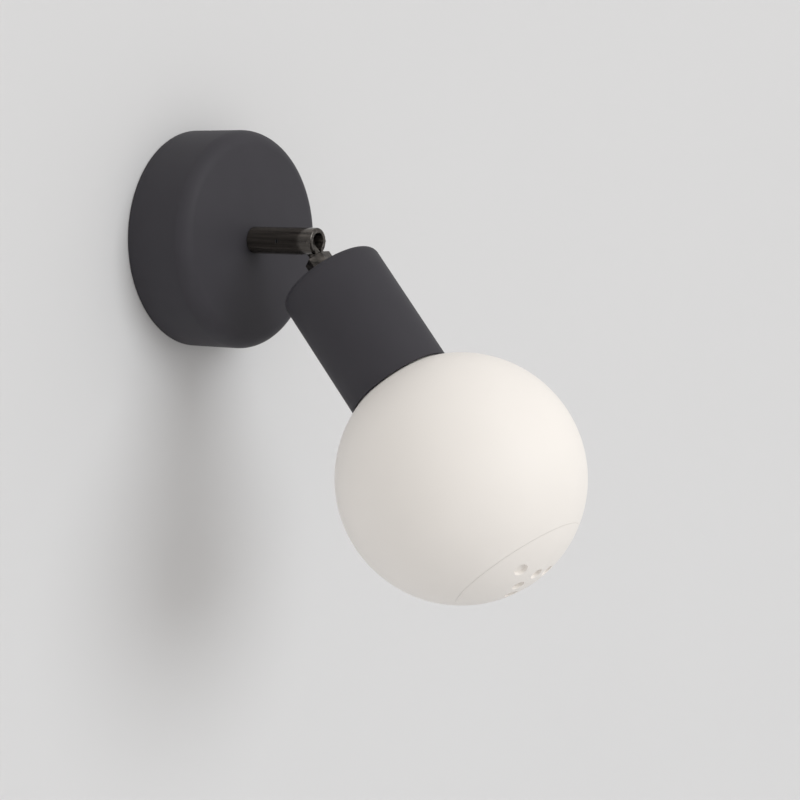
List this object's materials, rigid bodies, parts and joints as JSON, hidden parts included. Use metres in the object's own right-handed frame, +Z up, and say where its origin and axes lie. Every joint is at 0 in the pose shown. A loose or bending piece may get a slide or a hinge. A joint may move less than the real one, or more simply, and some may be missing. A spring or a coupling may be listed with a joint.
{
  "type": "pivoting spotlight wall light",
  "caption": "Wall light with a round rose, a short slotted arm that swivels, a tilting knuckle, a cylindrical lampholder cover and a large opal globe lamp that screws in.",
  "frame": {"origin": "centre of the rose's back, on the wall, midway between the bracket's screw slots", "axes": "+Y points into the wall, the light stands out along -Y, +Z is up; metres"},
  "size_m": [0.1204, 0.2191, 0.2263],
  "materials": {
    "graphite_paint": "fine matt graphite powder coat",
    "black_chrome": "dark nickel plate, polished",
    "black_nylon": "moulded nylon",
    "natural_nylon": "moulded nylon",
    "bright_steel": "bright plated steel",
    "black_steel": "blackened steel",
    "zinc_steel": "zinc plated sheet steel",
    "spring_steel": "spring steel",
    "brass": "turned brass",
    "contact_bronze": "phosphor bronze strip",
    "nickel_plate": "nickel plated brass",
    "cable_sheath": "cable sheath",
    "core_sheath": "core insulation",
    "white_plastic": "moulded thermoplastic",
    "black_phenolic": "moulded phenolic",
    "porcelain": "glazed porcelain",
    "black_glaze": "glass insulator",
    "aluminium": "plain sheet",
    "board_white": "white solder mask",
    "phosphor": "phosphor gel",
    "board_green": "green solder mask",
    "capacitor_sleeve": "shrunk sleeve",
    "choke_tape": "polyester tape",
    "opal_white": "satin opal diffuser"
  },
  "bodies": {
    "rose": {"rose_cover": "graphite_paint", "swivel_bush": "black_nylon", "swivel_stop_lug": "bright_steel", "wall_bracket": "zinc_steel", "rose_side_screws": "black_steel", "earth_screw": "brass", "terminal_block": "white_plastic", "block_screw": "bright_steel", "terminal_inserts": "brass", "terminal_screws": "bright_steel", "rose_cable": "cable_sheath", "cord_grip": "natural_nylon", "grip_screw": "bright_steel", "rose_leads": "core_sheath"},
    "arm": {"arm_tube": "black_chrome", "arm_nipple": "zinc_steel", "arm_grub_screw": "black_steel", "stop_washer": "zinc_steel", "spring_washer": "spring_steel", "lock_nuts": "brass", "pivot_pins": "black_chrome", "rim_rivets": "bright_steel", "ball_seat": "natural_nylon", "seat_spring": "spring_steel", "arm_cable": "cable_sheath", "arm_leads": "core_sheath"},
    "head": {"knuckle": "black_chrome", "head_leads": "core_sheath", "lampholder_cover": "graphite_paint", "star_washer": "zinc_steel", "holder_dome": "black_phenolic", "dome_grub_screw": "bright_steel", "holder_body": "black_phenolic", "contact_carrier": "porcelain", "holder_terminals": "brass", "holder_terminal_screws": "bright_steel", "centre_contact": "contact_bronze", "side_contact": "contact_bronze", "threaded_shell": "nickel_plate"},
    "lamp_tip": {"lamp_tip_contact": "nickel_plate"},
    "lamp": {"cap_insulator": "black_glaze", "screw_cap": "nickel_plate", "lamp_neck": "white_plastic", "heat_sink": "aluminium", "led_board": "board_white", "led_chips": "phosphor", "board_screws": "bright_steel", "driver_board": "board_green", "driver_capacitor": "capacitor_sleeve", "driver_choke": "choke_tape", "globe_diffuser": "opal_white", "vent_cap": "opal_white"}
  },
  "joints": [
    {"name": "arm_swivel", "type": "hinge", "parent": "rose", "child": "arm", "pos_m": [0, -0.036, 0], "axis": [0, 1, 0], "range_deg": [-165, 165]},
    {"name": "head_tilt", "type": "hinge", "parent": "arm", "child": "head", "pos_m": [0, -0.068, 0], "axis": [1, 0, 0], "range_deg": [-50.7, 39.3]},
    {"name": "lamp_travel", "type": "slide", "parent": "head", "child": "lamp_tip", "axis": [0, -0.6334, -0.7738], "range_m": [0, 0.01089]},
    {"name": "lamp_turn", "type": "hinge", "parent": "lamp_tip", "child": "lamp", "pos_m": [0, -0.068, 0], "axis": [0, -0.6334, -0.7738], "range_deg": [0, 1080]}
  ],
  "couplings": [
    {"joint": "lamp_travel", "follows": "lamp_turn", "m_per_rad": 0.00057757}
  ]
}
